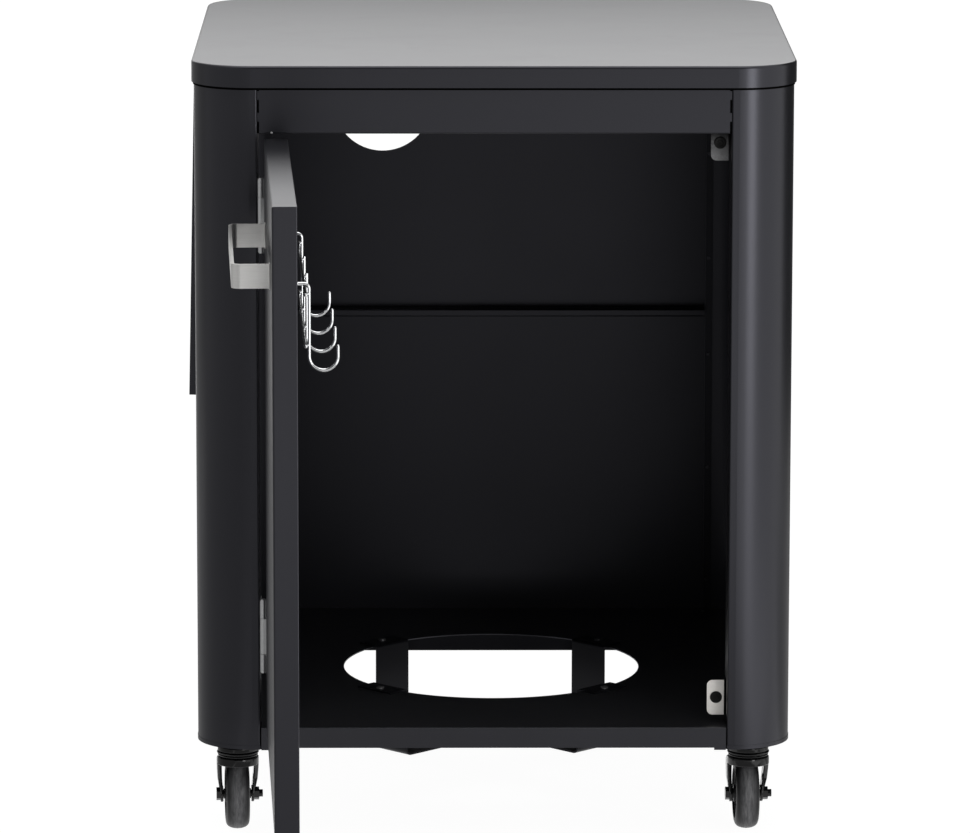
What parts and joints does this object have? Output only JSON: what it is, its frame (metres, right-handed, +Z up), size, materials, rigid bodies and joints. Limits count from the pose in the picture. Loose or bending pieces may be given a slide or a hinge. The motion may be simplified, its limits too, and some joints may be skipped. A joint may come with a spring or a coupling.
{
  "type": "grill cart",
  "caption": "Sheet-steel grill cart with a rounded worktop, a hinged door with a strap handle and hook rack, a bottle well, a folding side shelf and swivel casters.",
  "frame": {"origin": "on the ground under the middle of the worktop", "axes": "+Z up, +X to the right as seen from the front, +Y to the back; the door is on the -Y side"},
  "size_m": [0.6479, 1.1121, 0.842],
  "materials": {
    "powder_coat": "satin",
    "stainless": "satin",
    "chrome_wire": "polished",
    "bright_zinc": "bright plated",
    "black_plate": "gloss plated",
    "black_rubber": "matte",
    "grey_hub": "moulded",
    "grey_tyre": "matte"
  },
  "bodies": {
    "cabinet": {"top_panel": "powder_coat", "left_side_panel": "powder_coat", "right_side_panel": "powder_coat", "front_rail": "powder_coat", "floor_panel": "powder_coat", "front_base_channel": "powder_coat", "rear_base_channel": "powder_coat", "lower_bottle_strap": "powder_coat", "upper_bottle_strap": "powder_coat", "back_upper_panel": "powder_coat", "back_lower_panel": "powder_coat", "upper_stop_bracket": "bright_zinc", "lower_stop_bracket": "bright_zinc", "upper_hinge_frame_leaf": "bright_zinc", "lower_hinge_frame_leaf": "bright_zinc", "hinge_pins": "bright_zinc", "strap_screws": "bright_zinc", "back_rivets": "bright_zinc", "caster_plates": "black_plate", "caster_bolts": "black_plate", "shelf_hinge_plates": "black_plate", "shelf_pins": "black_plate", "stop_bumpers": "black_rubber", "shelf_buffers": "black_rubber", "caster_seals": "black_rubber"},
    "door": {"door_pan": "powder_coat", "door_liner": "powder_coat", "door_handle": "stainless", "upper_hook_rod": "chrome_wire", "lower_hook_rod": "chrome_wire", "hook_1": "chrome_wire", "hook_2": "chrome_wire", "hook_3": "chrome_wire", "hook_4": "chrome_wire", "upper_hinge_door_leaf": "bright_zinc", "lower_hinge_door_leaf": "bright_zinc"},
    "front_left_swivel": {"front_left_fork": "black_plate", "front_left_axle": "black_plate"},
    "front_left_wheel": {"front_left_hub": "grey_hub", "front_left_tyre": "grey_tyre"},
    "front_right_swivel": {"front_right_fork": "black_plate", "front_right_axle": "black_plate"},
    "front_right_wheel": {"front_right_hub": "grey_hub", "front_right_tyre": "grey_tyre"},
    "rear_left_swivel": {"rear_left_fork": "black_plate", "rear_left_axle": "black_plate"},
    "rear_left_wheel": {"rear_left_hub": "grey_hub", "rear_left_tyre": "grey_tyre"},
    "rear_right_swivel": {"rear_right_fork": "black_plate", "rear_right_axle": "black_plate"},
    "rear_right_wheel": {"rear_right_hub": "grey_hub", "rear_right_tyre": "grey_tyre"},
    "shelf": {"side_shelf": "powder_coat"}
  },
  "joints": [
    {"name": "door_hinge", "type": "hinge", "parent": "cabinet", "child": "door", "pos_m": [-0.24525, -0.3095, 0.45], "axis": [0, 0, 1], "range_deg": [-87.4, 87.6]},
    {"name": "front_left_swivel_turn", "type": "hinge", "parent": "cabinet", "child": "front_left_swivel", "pos_m": [-0.275, -0.245, 0.09], "axis": [0, 0, 1], "continuous": true},
    {"name": "front_left_wheel_roll", "type": "hinge", "parent": "front_left_swivel", "child": "front_left_wheel", "pos_m": [-0.27681, -0.21906, 0.038], "axis": [0.9976, 0.0698, 0], "continuous": true},
    {"name": "front_right_swivel_turn", "type": "hinge", "parent": "cabinet", "child": "front_right_swivel", "pos_m": [0.275, -0.245, 0.09], "axis": [0, 0, 1], "continuous": true},
    {"name": "front_right_wheel_roll", "type": "hinge", "parent": "front_right_swivel", "child": "front_right_wheel", "pos_m": [0.27409, -0.21902, 0.038], "axis": [0.9994, 0.0349, 0], "continuous": true},
    {"name": "rear_left_swivel_turn", "type": "hinge", "parent": "cabinet", "child": "rear_left_swivel", "pos_m": [-0.275, 0.245, 0.09], "axis": [0, 0, 1], "continuous": true},
    {"name": "rear_left_wheel_roll", "type": "hinge", "parent": "rear_left_swivel", "child": "rear_left_wheel", "pos_m": [-0.275, 0.271, 0.038], "axis": [1, 0, 0], "continuous": true},
    {"name": "rear_right_swivel_turn", "type": "hinge", "parent": "cabinet", "child": "rear_right_swivel", "pos_m": [0.275, 0.245, 0.09], "axis": [0, 0, 1], "continuous": true},
    {"name": "rear_right_wheel_roll", "type": "hinge", "parent": "rear_right_swivel", "child": "rear_right_wheel", "pos_m": [0.27636, 0.27096, 0.038], "axis": [0.9986, -0.0523, 0], "continuous": true},
    {"name": "shelf_fold", "type": "hinge", "parent": "cabinet", "child": "shelf", "pos_m": [-0.3205, 0, 0.812], "axis": [0, 1, 0], "range_deg": [0, 88.77]}
  ]
}
